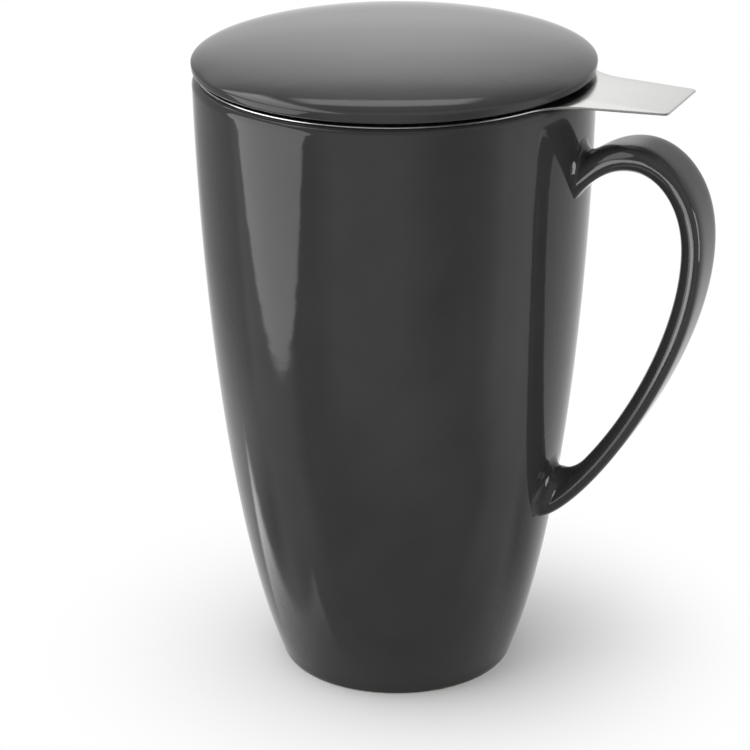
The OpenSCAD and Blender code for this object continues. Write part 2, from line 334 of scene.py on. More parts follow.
def strap_mid(s):
    """The middle of the strap in the XZ plane, s from 0 at the top root to 1 at the bottom."""
    top = np.array([outside_r(STRAP_TOP_Z), STRAP_TOP_Z])
    far = np.array([STRAP_REACH, STRAP_REACH_Z])
    low = np.array([outside_r(STRAP_LOW_Z) - STRAP_LOW_INSET, STRAP_LOW_Z])
    upper = cubic(top, top + polar(STRAP_TOP_PULL, STRAP_TOP_RISE),
                  far + (0, STRAP_FAR_PULLS[0]), far, np.clip(2 * s, 0, 1))
    lower = cubic(far, far - (0, STRAP_FAR_PULLS[1]),
                  low + polar(STRAP_LOW_PULL, STRAP_LOW_RISE), low, np.clip(2 * s - 1, 0, 1))
    return np.where(s[:, None] < 0.5, upper, lower)


def strap_path():
    """The strap's middle line with both ends run on into the wall, and s along it."""
    t = np.linspace(0, 1, STRAP_RINGS)
    s = t - STRAP_CROWDING * np.sin(2 * math.pi * t) / (2 * math.pi)
    mid = strap_mid(s)
    top_end = [mid[0] - polar(STRAP_BURY * b, STRAP_TOP_RISE) for b in STRAP_BURY_STEPS[::-1]]
    low_end = [mid[-1] - polar(STRAP_BURY * b * STRAP_LOW_BURY, STRAP_LOW_RISE)
               for b in STRAP_BURY_STEPS]
    ends = len(STRAP_BURY_STEPS)
    return (np.concatenate([top_end, mid, low_end]),
            np.concatenate([[0] * ends, s, [1] * ends]))


def strap_out(mid):
    """The way out from the strap's inner face to its outer one, along its middle line.

    It is square to the strap, and turns parallel to the wall beside it. There it is longer,
    so that the strap stays as deep.
    """
    along = np.gradient(mid, axis=0)
    along /= np.linalg.norm(along, axis=1)[:, None]
    square = np.stack([-along[:, 1], along[:, 0]], 1)
    r, z = mid[:, 0], mid[:, 1]
    up_wall = np.stack([outside_r(z + 1) - outside_r(z - 1), np.full(len(mid), 2)], 1)
    up_wall *= np.sign(square[:, 1:]) / np.linalg.norm(up_wall, axis=1)[:, None]
    near = 1 - ease(np.clip((r - outside_r(z)) / TURN_GAP, 0, 1)[:, None])
    out = near * up_wall + (1 - near) * square
    return out / np.sum(out * square, axis=1)[:, None]


def strap_section(s, cosine, sine):
    """How far each point of the bare strap's section lies across it and out from its middle."""
    power = np.where(sine < 0, along_strap(INNER_POWERS, s)[:, None],
                     along_strap(OUTER_POWERS, s)[:, None])
    half_w = (along_strap(STRAP_WIDTHS, s) / 2)[:, None]
    depth = along_strap(STRAP_DEPTHS, s)[:, None]
    inner = depth * along_strap(STRAP_SHARES, s)[:, None]
    crown = (depth - inner) * along_strap(OUTER_CROWNS, s)[:, None]
    across = half_w * np.sign(cosine) * np.abs(cosine) ** (2 / power)
    outwards = inner - depth / 2 + np.where(sine < 0, inner, crown) * (
        np.sign(sine) * np.abs(sine) ** (2 / power))
    return across, outwards


def make_handle():
    """The strap, with its slip fillets, its two ends buried in the mug's wall.

    The fillets are the strap itself, swollen beside the wall by as much as puts each point
    on a fillet of the radius that is given there.
    """
    mid, s = strap_path()
    out = strap_out(mid)
    angle = np.arange(STRAP_SIDES) * 2 * math.pi / STRAP_SIDES
    cosine, sine = np.cos(angle), np.sin(angle)
    bare_across, bare_out = strap_section(s, cosine, sine)
    above = ((1 + sine * np.sign(out[:, 1:])) / 2) ** 2
    radius = FILLET_BELOW + (along_strap(FILLETS_UP, s)[:, None] - FILLET_BELOW) * above

    def skin(extra):
        deep = bare_out + extra * sine
        wide = bare_across + extra * cosine
        return np.stack([mid[:, :1] + deep * out[:, :1], wide, mid[:, 1:] + deep * out[:, 1:]], 2)

    def excess(extra):
        """How far the skin stands out beyond the fillet at its own distance from the wall."""
        place = skin(extra)
        gap = np.hypot(place[..., 0], place[..., 1]) - outside_r(place[..., 2])
        left = np.clip(radius - gap, 0, radius)
        return extra - radius + np.sqrt(radius ** 2 - left ** 2)

    low, high = np.zeros_like(radius), radius.copy()
    halvings = 24
    for _ in range(halvings):
        middle = (low + high) / 2
        beyond = excess(middle) > 0
        low = np.where(beyond, low, middle)
        high = np.where(beyond, middle, high)
    vertices = skin(low).reshape(-1, 3)
    sides = STRAP_SIDES
    faces = []
    for i in range(len(mid) - 1):
        a, b = i * sides, (i + 1) * sides
        faces += [(a + k, b + k, b + (k + 1) % sides, a + (k + 1) % sides) for k in range(sides)]
    last = len(vertices) - 1
    faces.append(tuple(range(sides)))
    faces.append(tuple(range(last, last - sides, -1)))
    return make_object("strap_handle", vertices, faces, smooth_angle=60)


# ---------------------------------------------------------------- lid

LID_EDGE_H = 2.25           # the lid's widest line above its seat
LID_CROWN_PULLS = (23, 1.8)     # how long the crown stays level, and how long its edge upright
LID_UNDER_IN = 0.45         # the low edge: this far in from the widest line
LID_UNDER_H = 0.85          # and this far above the seat
LID_UNDER_PULLS = (1.2, 0.4)
LID_SEAT_R = 38.0           # the flat seat's outer edge
LID_SEAT_ROUND = 0.5
RING_ROOT = 0.6             # radii where the ring meets the seat, at its foot, and inside it
RING_FOOT = 1.0             # below the ceiling
RING_CORNER = 3.0


def lid_profile():
    """From the middle of the crown, over the shoulder, under the edge and into the recess."""
    edge_z = LID_SEAT + LID_EDGE_H
    under_r = LID_R - LID_UNDER_IN
    under_z = LID_SEAT + LID_UNDER_H
    crown = run((0, LID_TOP), (LID_CROWN_PULLS[0], LID_TOP),
                (LID_R, edge_z + LID_CROWN_PULLS[1]), (LID_R, edge_z), STEPS)
    under = run((LID_R, edge_z), (LID_R, edge_z - LID_UNDER_PULLS[0]),
                (under_r + LID_UNDER_PULLS[1], under_z), (under_r, under_z), 12)
    seat = arc((LID_SEAT_R - LID_SEAT_ROUND, LID_SEAT + LID_SEAT_ROUND), LID_SEAT_ROUND,
               -60, -90, 3)
    root = arc((RING_R + RING_ROOT, LID_SEAT - RING_ROOT), RING_ROOT, 90, 180, 4)
    ring_in = RING_R - RING_T
    foot_z = RING_LOW + RING_FOOT
    outer_foot = arc((RING_R - RING_FOOT, foot_z), RING_FOOT, 0, -90, 6)
    inner_foot = arc((ring_in + RING_FOOT, foot_z), RING_FOOT, -90, -180, 6)
    ceiling = LID_TOP - LID_T
    recess = arc((ring_in - RING_CORNER, ceiling - RING_CORNER), RING_CORNER, 0, 90, 10)
    return np.concatenate([
        [[0, LID_TOP]], crown, under, seat, root, outer_foot, inner_foot, recess,
        [[ring_in / 2, ceiling], [0, ceiling]]])


# ---------------------------------------------------------------- infuser

CUT_LOOPS = 8           # loops of faces round the flange's sheared edge
CUT_TO = 45             # beyond this x the tab's edge has the pressed face's finish
EDGE_STEP = 0.6         # the longest step along the tab's outline
FLANGE_IN_R = 36.5      # outside this radius the flange's faces follow its outline
COLLAR_BEND = 1.2       # radius outside the sheet where the flange turns down into the collar

SCREEN_AROUND = 100     # cells in a row of perforations, with the two plain ones at the seam
SCREEN_ROWS = 27
SCREEN_MARGIN = 1.6     # more plain sheet beside each band
SHEET_PITCH = 2.3       # between the bottom's perforations
SHEET_R = SCREEN_LOW_R - 0.8
HEM_BEND = 0.8          # radius inside the sheet


def tab_side():
    """One side of the flange's outline: the hollow corner, the straight side and the tip."""
    end_half = TAB_END_W / 2
    side_out = polar(1, 90 - TAB_TAPER)
    side_gap = float(np.dot(side_out, (TAB_REACH, end_half)))
    centre_r = FLANGE_R + TAB_FILLET
    centre_a = 90 - TAB_TAPER - math.degrees(math.acos((side_gap + TAB_FILLET) / centre_r))
    hollow = arc(polar(centre_r, centre_a), TAB_FILLET, 180 + centre_a, 270 - TAB_TAPER, 24)
    tip = (TAB_REACH - TAB_CORNER, end_half - TAB_CORNER)
    corner = arc(tip, TAB_CORNER, 90 - TAB_TAPER, 0, 8)
    return np.concatenate([hollow, corner])


def flange_outline():
    """The flange and tab's outline, anticlockwise, starting beside the hollow corner."""
    side = tab_side()
    start = math.degrees(math.atan2(side[0][1], side[0][0]))
    rim = arc((0, 0), FLANGE_R, start, 360 - start, 300)
    mirrored = side * (1, -1)
    lower = even(mirrored, EDGE_STEP)
    upper = even(side[::-1], EDGE_STEP)
    middle = even(np.array([lower[-1], upper[0]]), EDGE_STEP)
    return np.concatenate([rim[:-1], lower, middle[1:-1], upper[:-1]])


def collar_profile():
    """From the flange's top, down the collar's inside and back up its outside."""
    bend_in, bend_out = COLLAR_BEND, COLLAR_BEND + FLANGE_T
    bend = (SCREEN_TOP_R + bend_out, FLANGE_TOP - bend_out)
    return np.concatenate([
        [[FLANGE_IN_R, FLANGE_TOP]], arc(bend, bend_out, 90, 180, 8),
        [[SCREEN_TOP_R, COLLAR_LOW], [SCREEN_TOP_R + FLANGE_T, COLLAR_LOW]],
        arc(bend, bend_in, 180, 90, 8), [[FLANGE_IN_R, FLANGE_TOP - FLANGE_T]]])


def make_infuser_rim():
    """The pressed flange, its tab and its drawn collar, with softly rounded sheared edges."""
    outline = flange_outline()
    along = np.roll(outline, -1, 0) - np.roll(outline, 1, 0)
    along /= np.linalg.norm(along, axis=1)[:, None]
    outward = np.stack([along[:, 1], -along[:, 0]], 1)
    half = FLANGE_T / 2
    middle_z = FLANGE_TOP - half
    count = len(outline)
    loops = []
    for angle in np.radians(np.linspace(-90, 90, CUT_LOOPS + 1)):
        flat = outline - half * (1 - math.cos(angle)) * outward
        loops.append(np.column_stack([flat, np.full(count, middle_z + half * math.sin(angle))]))
    turn = np.arctan2(outline[:, 1], outline[:, 0])
    ring = np.stack([np.cos(turn), np.sin(turn)], 1)
    for r, z in collar_profile():
        loops.append(np.column_stack([ring * r, np.full(count, z)]))
    faces = tube(count, len(loops))
    return make_object("infuser_flange", np.concatenate(loops), faces, smooth_angle=40)


def make_infuser_screen():
    """The rolled, tapered side wall, with staggered round perforations and a plain seam.

    Each cell of a row has eight corners round one hole: three on the ring of points below it,
    three on the ring above it and one on each side.
    """
    top_z = SCREEN_TOP_Z - BAND_TOP
    low_z = SCREEN_LOW_Z + BAND_LOW
    first = low_z + SCREEN_MARGIN
    last = top_z - SCREEN_MARGIN
    row_h = (last - first) / SCREEN_ROWS
    places = 2 * SCREEN_AROUND
    vertices, faces = [], []

    def radius(z):
        t = np.clip((z - low_z) / (top_z - low_z), 0, 1)
        return SCREEN_LOW_R + (SCREEN_TOP_R - SCREEN_LOW_R) * t

    def ring_of(z, count, offset=0.0):
        """Adds a ring on the outer and the inner face, and returns both rings' indices."""
        angle = math.pi + (np.arange(count) + offset) * 2 * math.pi / count
        found = []
        for depth in (0, SCREEN_T):
            start = len(vertices)
            r = radius(z) - depth
            vertices.extend(zip(r * np.cos(angle), r * np.sin(angle), np.full(count, z)))
            found.append(np.arange(start, start + count))
        return found

    def hole(middle_turn, middle_z, side):
        """Adds a hole's corners on one side, 0 outside or 1 inside, and returns their indices."""
        start = len(vertices)
        for k in range(HOLE_SIDES):
            angle = math.radians(-135 + 360 / HOLE_SIDES * k)
            z = middle_z + HOLE_R * math.sin(angle)
            r = radius(z) - side * SCREEN_T
            turn = middle_turn + HOLE_R * math.cos(angle) / r
            vertices.append((r * math.cos(turn), r * math.sin(turn), z))
        return range(start, start + HOLE_SIDES)

    def strip(a, b, outside):
        """Faces between two closed loops. Those of the inner face are turned over."""
        for k in range(len(a)):
            n = (k + 1) % len(a)
            quad = (a[k], a[n], b[n], b[k])
            faces.append(quad if outside else quad[::-1])

    bands_low = [ring_of(z, places) for z in (SCREEN_LOW_Z, low_z, first)]
    bands_high = [ring_of(z, places) for z in (last, top_z, SCREEN_TOP_Z)]
    for side in (0, 1):
        for bands in (bands_low, bands_high):
            for a, b in zip(bands[:-1], bands[1:]):
                strip(a[side], b[side], side == 0)
    strip(bands_low[0][1], bands_low[0][0], True)
    strip(bands_high[-1][0], bands_high[-1][1], True)

    below = bands_low[-1]
    for row in range(SCREEN_ROWS):
        z0 = first + row * row_h
        middle_z = z0 + row_h / 2
        above = bands_high[0] if row == SCREEN_ROWS - 1 else ring_of(z0 + row_h, places)
        shift = row % 2
        middles = ring_of(middle_z, SCREEN_AROUND, shift / 2)
        for cell in range(SCREEN_AROUND):
            left = 2 * cell + shift
            marks = [(left + i) % places for i in range(3)]
            plain = cell in (0, SCREEN_AROUND - 1)
            middle_turn = math.pi + (left + 1) * 2 * math.pi / places
            holes = []
            for side in (0, 1):
                edge = [below[side][m] for m in marks]
                edge.append(middles[side][(cell + 1) % SCREEN_AROUND])
                edge += [above[side][m] for m in marks[::-1]]
                edge.append(middles[side][cell])
                if plain:
                    faces.append(tuple(edge) if side == 0 else tuple(edge[::-1]))
                else:
                    holes.append(hole(middle_turn, middle_z, side))
                    strip(edge, holes[side], side == 0)
            if not plain:
                strip(holes[0], holes[1], True)
        below = above
    faces = [tuple(int(v) for v in face) for face in faces]
    return make_object("infuser_side_screen", vertices, faces, smooth_angle=30)


def make_infuser_sheet():
    """The flat perforated bottom, cut to a circle, with its holes on a triangular grid."""
    curve = bpy.data.curves.new("infuser_bottom", "CURVE")
    curve.dimensions = "2D"
    curve.fill_mode = "BOTH"
    curve.extrude = SCREEN_T / 2 * MM

    def circle(x, y, r, count):
        spline = curve.splines.new("POLY")
        spline.points.add(count - 1)
        for k, point in enumerate(spline.points):
            angle = 2 * math.pi * (k + 0.5) / count
            point.co = ((x + r * math.cos(angle)) * MM, (y + r * math.sin(angle)) * MM, 0, 1)
        spline.use_cyclic_u = True

    circle(0, 0, SHEET_R, 128)
    reach = int(SHEET_R / SHEET_PITCH) + 1
    for row in range(-reach, reach + 1):
        y = row * SHEET_PITCH * math.sqrt(3) / 2
        for place in range(-reach, reach + 1):
            x = (place + row % 2 / 2) * SHEET_PITCH
            if math.hypot(x, y) < SHEET_R - 2 * HOLE_R:
                circle(x, y, HOLE_R, HOLE_SIDES)
    flat = add_object("infuser_bottom", curve)
    mesh = bpy.data.meshes.new_from_object(flat)
    bpy.data.objects.remove(flat)
    mesh.name = "infuser_bottom"
    for vertex in mesh.vertices:
        vertex.co.z += (SCREEN_LOW_Z - SCREEN_T / 2) * MM
    return add_object("infuser_bottom", mesh)


def make_infuser_hem():
    """The bottom's edge, turned up round the screen in a tight bend."""
    outer_r = SCREEN_LOW_R + SCREEN_T
    low_z = SCREEN_LOW_Z - SCREEN_T
    middle = (outer_r - HEM_BEND - SCREEN_T, low_z + HEM_BEND + SCREEN_T)
    outside = arc(middle, HEM_BEND + SCREEN_T, -90, 0, 8)
    inside = arc(middle, HEM_BEND, 0, -90, 8)
    lip = arc((outer_r - SCREEN_T / 2, HEM_TOP - SCREEN_T / 2), SCREEN_T / 2, 0, 180, 6)
    rings = circles(np.concatenate([outside, lip, inside]))
    faces = tube(ROUND, len(rings))
    return make_object("infuser_hem", np.concatenate(rings), faces, smooth_angle=40)


# ---------------------------------------------------------------- node trees

class Graph:
    """Short forms for the nodes of one node tree, which starts empty."""

    def __init__(self, tree):
        self.tree = tree
        tree.nodes.clear()

    def node(self, kind):
        return self.tree.nodes.new(kind)

    def plug(self, socket, value):
        """Sets a socket to a number, or links another node's output to it."""
        if isinstance(value, (int, float)):
            socket.default_value = value
        else:
            self.tree.links.new(value, socket)

    def ramp(self, value, stops):
        """A colour ramp; stops are (position from 0 to 1, grey or colour)."""
        ramp = self.node("ShaderNodeValToRGB")
        elements = ramp.color_ramp.elements
        while len(elements) < len(stops):
            elements.new(0.5)
        for element, (position, colour) in zip(elements, stops):
            element.position = position
            colour = (colour,) * 3 if isinstance(colour, (int, float)) else colour
            element.color = (*colour, 1)
        self.plug(ramp.inputs["Fac"], value)
        return ramp.outputs["Color"]

    def math(self, operation, *values):
        node = self.node("ShaderNodeMath")
        node.operation = operation
        for socket, value in zip(node.inputs, values):
            self.plug(socket, value)
        return node.outputs["Value"]

    def times(self, *values):
        """The product of two or more values."""
        product = values[0]
        for value in values[1:]:
            product = self.math("MULTIPLY", product, value)
        return product

    def degrees(self, operation, *values):
        """An angle that a Math operation gives, in degrees."""
        return self.math("DEGREES", self.math(operation, *values))

    def dot(self, vector, fixed):
        node = self.node("ShaderNodeVectorMath")
        node.operation = "DOT_PRODUCT"
        self.plug(node.inputs[0], vector)
        node.inputs[1].default_value = fixed
        return node.outputs["Value"]

    def length(self, vector):
        node = self.node("ShaderNodeVectorMath")
        node.operation = "LENGTH"
        self.plug(node.inputs[0], vector)
        return node.outputs["Value"]

    def step(self, value, low, high):
        """0 below low, 1 above high, smooth between. Low above high turns it round."""
        node = self.node("ShaderNodeMapRange")
        node.interpolation_type = "SMOOTHSTEP"
        if low > high:
            low, high = high, low
            node.inputs["To Min"].default_value = 1
            node.inputs["To Max"].default_value = 0
        node.inputs["From Min"].default_value = low
        node.inputs["From Max"].default_value = high
        self.plug(node.inputs["Value"], value)
        return node.outputs["Result"]

    def band(self, value, low, high, soft):
        """1 between low and high. Each edge fades from soft inside it to soft outside it."""
        return self.times(self.step(value, low - soft, low + soft),
                          self.step(value, high + soft, high - soft))

    def blend(self, base, level, mask):
        """base where the mask is 0, level where it is 1."""
        return self.math("ADD", self.times(base, self.math("SUBTRACT", 1, mask)),
                         self.times(mask, level))

    def profile(self, value, stops):
        """A level that changes with a value, by straight lines between (value, level) stops."""
        low, high = stops[0][0], stops[-1][0]
        share = self.math("DIVIDE", self.math("SUBTRACT", value, low), high - low)
        return self.ramp(share, [((place - low) / (high - low), level) for place, level in stops])

    def mix(self, share, first, second):
        """The first shader where the share is 0, the second where it is 1."""
        node = self.node("ShaderNodeMixShader")
        for socket, value in zip(node.inputs, (share, first, second)):
            self.plug(socket, value)
        return node.outputs["Shader"]

    def rays(self):
        """Whether a ray is glossy, and whether it shows the background at all."""
        path = self.node("ShaderNodeLightPath")
        glossy = path.outputs["Is Glossy Ray"]
        through = self.math("MAXIMUM", glossy, path.outputs["Is Transmission Ray"])
        return glossy, self.math("MAXIMUM", path.outputs["Is Camera Ray"], through)


# ---------------------------------------------------------------- materials

class Finish(Graph):
    """A new material of one Principled shader, with patterns by place on the object."""

    def __init__(self, name, metallic, ior=1.5):
        self.material = bpy.data.materials.new(name)
        self.material.use_nodes = True
        super().__init__(self.material.node_tree)
        self.shader = self.node("ShaderNodeBsdfPrincipled")
        self.shader.inputs["Metallic"].default_value = metallic
        self.shader.inputs["IOR"].default_value = ior
        output = self.node("ShaderNodeOutputMaterial")
        self.plug(output.inputs["Surface"], self.shader.outputs["BSDF"])
        self.place = self.node("ShaderNodeTexCoord").outputs["Object"]

    def noise(self, scale, detail=2.0, rough=0.5, stretch=(1, 1, 1)):
        """Noise by place on the object; scale is in features per metre."""
        mapping = self.node("ShaderNodeMapping")
        mapping.inputs["Scale"].default_value = stretch
        self.plug(mapping.inputs["Vector"], self.place)
        noise = self.node("ShaderNodeTexNoise")
        noise.inputs["Scale"].default_value = scale
        noise.inputs["Detail"].default_value = detail
        noise.inputs["Roughness"].default_value = rough
        self.plug(noise.inputs["Vector"], mapping.outputs["Vector"])
        return noise.outputs["Fac"]

    def colour(self, pattern, *stops):
        self.plug(self.shader.inputs["Base Color"], self.ramp(pattern, stops))

    def roughness(self, pattern, *stops):
        self.plug(self.shader.inputs["Roughness"], self.ramp(pattern, stops))

    def relief(self, *layers):
        """Bumps laid over each other; each is (pattern, strength, height in metres)."""
        normal = None
        for pattern, strength, height in layers:
            bump = self.node("ShaderNodeBump")
            bump.inputs["Strength"].default_value = strength
            bump.inputs["Distance"].default_value = height
            self.plug(bump.inputs["Height"], pattern)
            if normal is not None:
                self.plug(bump.inputs["Normal"], normal)
            normal = bump.outputs["Normal"]
        self.plug(self.shader.inputs["Normal"], normal)


def glaze():
    """Charcoal glaze: even and glossy, with slight mottling and a faint orange peel."""
    finish = Finish("charcoal_glaze", metallic=0, ior=1.36)
    mottle = finish.noise(90, detail=3)
    finish.colour(mottle, (0.3, (0.0335, 0.0335, 0.0342)), (0.7, (0.0385, 0.0384, 0.0382)))
    smear = finish.noise(55, detail=4, rough=0.6)
    finish.roughness(smear, (0.3, 0.045), (0.75, 0.085))
    peel = finish.noise(160, detail=1.5)
    fine = finish.noise(900, detail=1)
    finish.relief((peel, 0.12, 0.0002), (fine, 0.03, 0.0001))
    return finish.material


def bisque():
    """The unglazed porcelain of the foot ring: pale, dry and slightly gritty."""
    finish = Finish("bare_porcelain", metallic=0, ior=1.45)
    grit = finish.noise(2500, detail=3, rough=0.6)
    finish.colour(grit, (0.35, (0.52, 0.49, 0.45)), (0.65, (0.66, 0.63, 0.58)))
    finish.roughness(grit, (0.3, 0.62), (0.7, 0.8))
    finish.relief((grit, 0.3, 0.00005))
    return finish.material


def satin_steel():
    """Pressed stainless steel with a fine brushed grain along the tab."""
    finish = Finish("brushed_steel", metallic=1)
    grain = finish.noise(700, detail=3, rough=0.6, stretch=(1, 18, 18))
    finish.colour(grain, (0.3, (0.43, 0.43, 0.418)), (0.7, (0.51, 0.51, 0.497)))
    finish.roughness(grain, (0.3, 0.13), (0.7, 0.24))
    finish.relief((grain, 0.15, 0.00002))
    return finish.material


def sheet_steel():
    """Perforated stainless sheet, brighter and more even than the pressing."""
    finish = Finish("perforated_steel", metallic=1)
    cloud = finish.noise(300, detail=3)
    finish.colour(cloud, (0.3, (0.68, 0.68, 0.665)), (0.7, (0.72, 0.72, 0.705)))
    finish.roughness(cloud, (0.3, 0.21), (0.7, 0.26))
    finish.relief((finish.noise(1500), 0.1, 0.00002))
    return finish.material


def cut_steel():
    """The flange's sheared edge: a little brighter than the pressed face, with drag lines."""
    finish = Finish("cut_steel", metallic=1)
    drag = finish.noise(600, stretch=(1, 1, 8))
    finish.colour(drag, (0.3, (0.50, 0.50, 0.49)), (0.7, (0.60, 0.60, 0.585)))
    finish.roughness(drag, (0.3, 0.14), (0.7, 0.22))
    finish.relief((drag, 0.1, 0.00002))
    return finish.material


# ---------------------------------------------------------------- the object

def dress(piece, material, body, node):
    """Gives a piece its material and its body, and hides the CAD node that it stands for."""
    piece.data.materials.append(material)
    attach(piece, body)
    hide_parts(node)
    return piece


GLAZE = glaze()
STEEL = satin_steel()
SHEET = sheet_steel()

mug = dress(lathe("mug_shell", mug_profile()), GLAZE, "mug", "mug_body")
mug.data.materials.append(bisque())
for face in mug.data.polygons:
    if all(mug.data.vertices[v].co.z < BARE_BELOW * MM for v in face.vertices):
        face.material_index = 1

handle = dress(make_handle(), GLAZE, "mug", "handle")
dress(lathe("lid_dome", lid_profile()), GLAZE, "lid", "lid")

flange = dress(make_infuser_rim(), STEEL, "infuser", "infuser_rim")
flange.data.materials.append(cut_steel())
for face in flange.data.polygons[:CUT_LOOPS * len(flange_outline())]:
    face.material_index = 1 if face.center.x < CUT_TO * MM else 0

dress(make_infuser_screen(), SHEET, "infuser", "infuser_screen")
dress(make_infuser_sheet(), SHEET, "infuser", "infuser_floor")
dress(make_infuser_hem(), SHEET, "infuser", "infuser_floor")


# ---------------------------------------------------------------- camera

CAMERA_TURN = math.radians(23.5)    # the handle points this much towards the camera
CAMERA_AWAY = 0.600                 # from the mug's axis
CAMERA_HEIGHT = 0.308366
CAMERA_PITCH = 0.386196             # radians, as yaw and roll are
CAMERA_YAW = -0.0074652
CAMERA_ROLL = -0.0081272
SENSOR_MM = 36.0
LENS_MM = 144.103

VIEW_BACK = Vector((math.sin(CAMERA_TURN), -math.cos(CAMERA_TURN), 0))
VIEW_LEFT = Vector((-math.cos(CAMERA_TURN), -math.sin(CAMERA_TURN), 0))
UP = Vector((0, 0, 1))


def from_axis(left, front, up):
    """A place or direction, by metres to the camera's left, towards the camera and up."""
    return left * VIEW_LEFT + front * VIEW_BACK + Vector((0, 0, up))


def make_camera():
    """The camera, which looks past the mug's axis by its yaw and down by its pitch."""
    data = bpy.data.cameras.new("camera")
    data.lens = LENS_MM
    data.sensor_width = SENSOR_MM
    data.clip_start = 0.01
    data.clip_end = 100
    camera = add_object("camera", data)
    yaw, pitch, roll = CAMERA_YAW, CAMERA_PITCH, CAMERA_ROLL
    forward = Vector((math.sin(yaw) * math.cos(pitch), math.cos(yaw) * math.cos(pitch),
                      -math.sin(pitch)))
    right = Vector((math.cos(yaw), -math.sin(yaw), 0))
    up = right.cross(forward)
    rolled_right = math.cos(roll) * right + math.sin(roll) * up
    rolled_up = -math.sin(roll) * right + math.cos(roll) * up
    basis = Matrix((rolled_right, rolled_up, -forward)).transposed().to_4x4()
    stand = Matrix.Translation((0, -CAMERA_AWAY, CAMERA_HEIGHT))
    camera.matrix_world = Matrix.Rotation(CAMERA_TURN, 4, "Z") @ stand @ basis
    bpy.context.scene.camera = camera


make_camera()


# ---------------------------------------------------------------- floor

WHITE = 1.0
FLOOR_HALF = 6.0
FLOOR_COLOUR = 0.9
FLOOR_LIT_TO = 0.027        # the floor is plainly lit and shaded up to this far from the axis,
FLOOR_WHITE_FROM = 0.087    # and white beyond this
FLOOR_GLOSS_PAINTED_SHADE = 0.2        # painted shade: the lit part's colour as the object's gloss shows it in front of the object, darker than the floor is
PAINTED_SHADE_FRONT = (0.012, 0.038)    # where that painted shade starts, between these places towards the camera


def make_floor():
    """A pale floor that keeps the object's shadow and turns plain white away from it.

    To glossy rays the white part is a mirror of the studio, and the lit part in front of the object
    is painted darker: a painted shade that the object's gloss shows.
    """
    half = FLOOR_HALF
    mesh = bpy.data.meshes.new("floor")
    mesh.from_pydata([(-half, -half, 0), (half, -half, 0), (half, half, 0), (-half, half, 0)],
                     [], [(0, 1, 2, 3)])
    floor = add_object("floor", mesh)
    material = bpy.data.materials.new("pale_floor")
    material.use_nodes = True
    graph = Graph(material.node_tree)
    place = graph.node("ShaderNodeTexCoord").outputs["Object"]
    glossy, seen = graph.rays()
    lit = graph.node("ShaderNodeBsdfDiffuse")
    # painted shade: glossy rays see the lit floor in front of the object darker than it is
    front = graph.step(graph.dot(place, VIEW_BACK), *PAINTED_SHADE_FRONT)
    colour = graph.blend(FLOOR_COLOUR, FLOOR_GLOSS_PAINTED_SHADE, graph.times(glossy, front))
    graph.plug(lit.inputs["Color"], colour)
    white = graph.node("ShaderNodeEmission")
    white.inputs["Strength"].default_value = WHITE
    polish = graph.node("ShaderNodeBsdfGlossy")
    polish.inputs["Color"].default_value = (1, 1, 1, 1)
    polish.inputs["Roughness"].default_value = 0
    away = graph.mix(glossy, white.outputs["Emission"], polish.outputs["BSDF"])
    fade = graph.step(graph.length(place), FLOOR_LIT_TO, FLOOR_WHITE_FROM)
    surface = graph.mix(graph.times(seen, fade), lit.outputs["BSDF"], away)
    graph.plug(graph.node("ShaderNodeOutputMaterial").inputs["Surface"], surface)
    mesh.materials.append(material)


# ---------------------------------------------------------------- world

AMBIENT = 0.9               # the even light on diffuse surfaces

# The studio, as glossy surfaces show it. Its upper part has a level by degrees from the
# camera's side, 0, over the top, 90, to the back, 180. A broad softbox at the back adds
# BACK_LEVELS to it in the middle, and less up to BACK_HALF degrees to each side.
STUDIO_FROM = (28, 38)      # degrees high, where the upper part starts
STUDIO_LEVELS = [(0, 1.0), (34, 1.0), (44, 0.65), (58, 0.65), (68, 1.0), (98, 1.0), (112, 0.5),
                 (127, 0.5), (134, 0.55), (141, 0.75), (152, 1.0), (180, 1.0)]
BACK_LEVELS = [(0, 0), (130, 0.1), (136, 0.25), (141, 0.36), (145, 0.65), (149, 0.74),
               (158, 0.71), (164, 0.5), (170, 0.34), (176, 0.05), (180, 0)]
BACK_HALF = 16

# Its lower part has a level by degrees around to the left from the camera's side, and is
# darker in a stretch at the left and behind
AROUND_LEVELS = [(-180, 1.0), (-105, 0.95), (-92, 1.15), (-84, 1.4), (-66, 1.35), (-58, 0.9),
                 (-50, 0.66), (-35, 0.52), (-25, 0.6), (-12, 0.8), (-3, 1.0), (34, 1.05),
                 (42, 0.8), (50, 0.6), (64, 0.6), (72, 1.0), (180, 1.0)]
AROUND_TO = (32, 42)        # degrees high, where it fades out
SHADED_LEVEL = 0.62
SHADED_FROM = (100, 108)    # degrees around
SHADED_UNTIL = (172, 150)
SHADED_BELOW = (45, 38)     # degrees high, with SHADED_SLOPE times the degrees around added
SHADED_SLOPE = 0.12

# Two softboxes with straight edges: a broad one at the left, and a narrow strip high behind.
# Each reaches from one degree to another, with soft edges, to the left and over the top.
WIDE_BOX_SIDE = (16, 45, 2)
WIDE_BOX_OVER = (75, 136, 1.5)
WIDE_BOX_LEVEL = 3.4
STRIP_BOX_SIDE = (-9, 11, 2)
STRIP_BOX_OVER = (127, 134.3, 0.8)
STRIP_BOX_LEVEL = 2.5

# The round softbox at the left, with its middle at the object's height
ROUND_BOX_TURN = math.radians(76)       # from the camera's side to its middle
ROUND_BOX_EDGE = math.cos(math.radians(29.5))
ROUND_BOX_SOFT = 0.004      # of the cosine, to each side of its edge
ROUND_BOX_LEVEL = 3.8

# How much darker the whole studio is by degrees from the place of the camera, which no
# softbox stands near. In the lower part they count from that place's mirror image in the floor.
DIM_LEVELS = [(0, 0.49), (60, 0.47), (80, 0.41), (90, 0.36), (100, 0.29), (110, 0.225),
              (120, 0.165), (130, 0.12), (140, 0.08), (150, 0.055), (160, 0.035), (180, 0)]
DIM_RISE = math.radians(22)


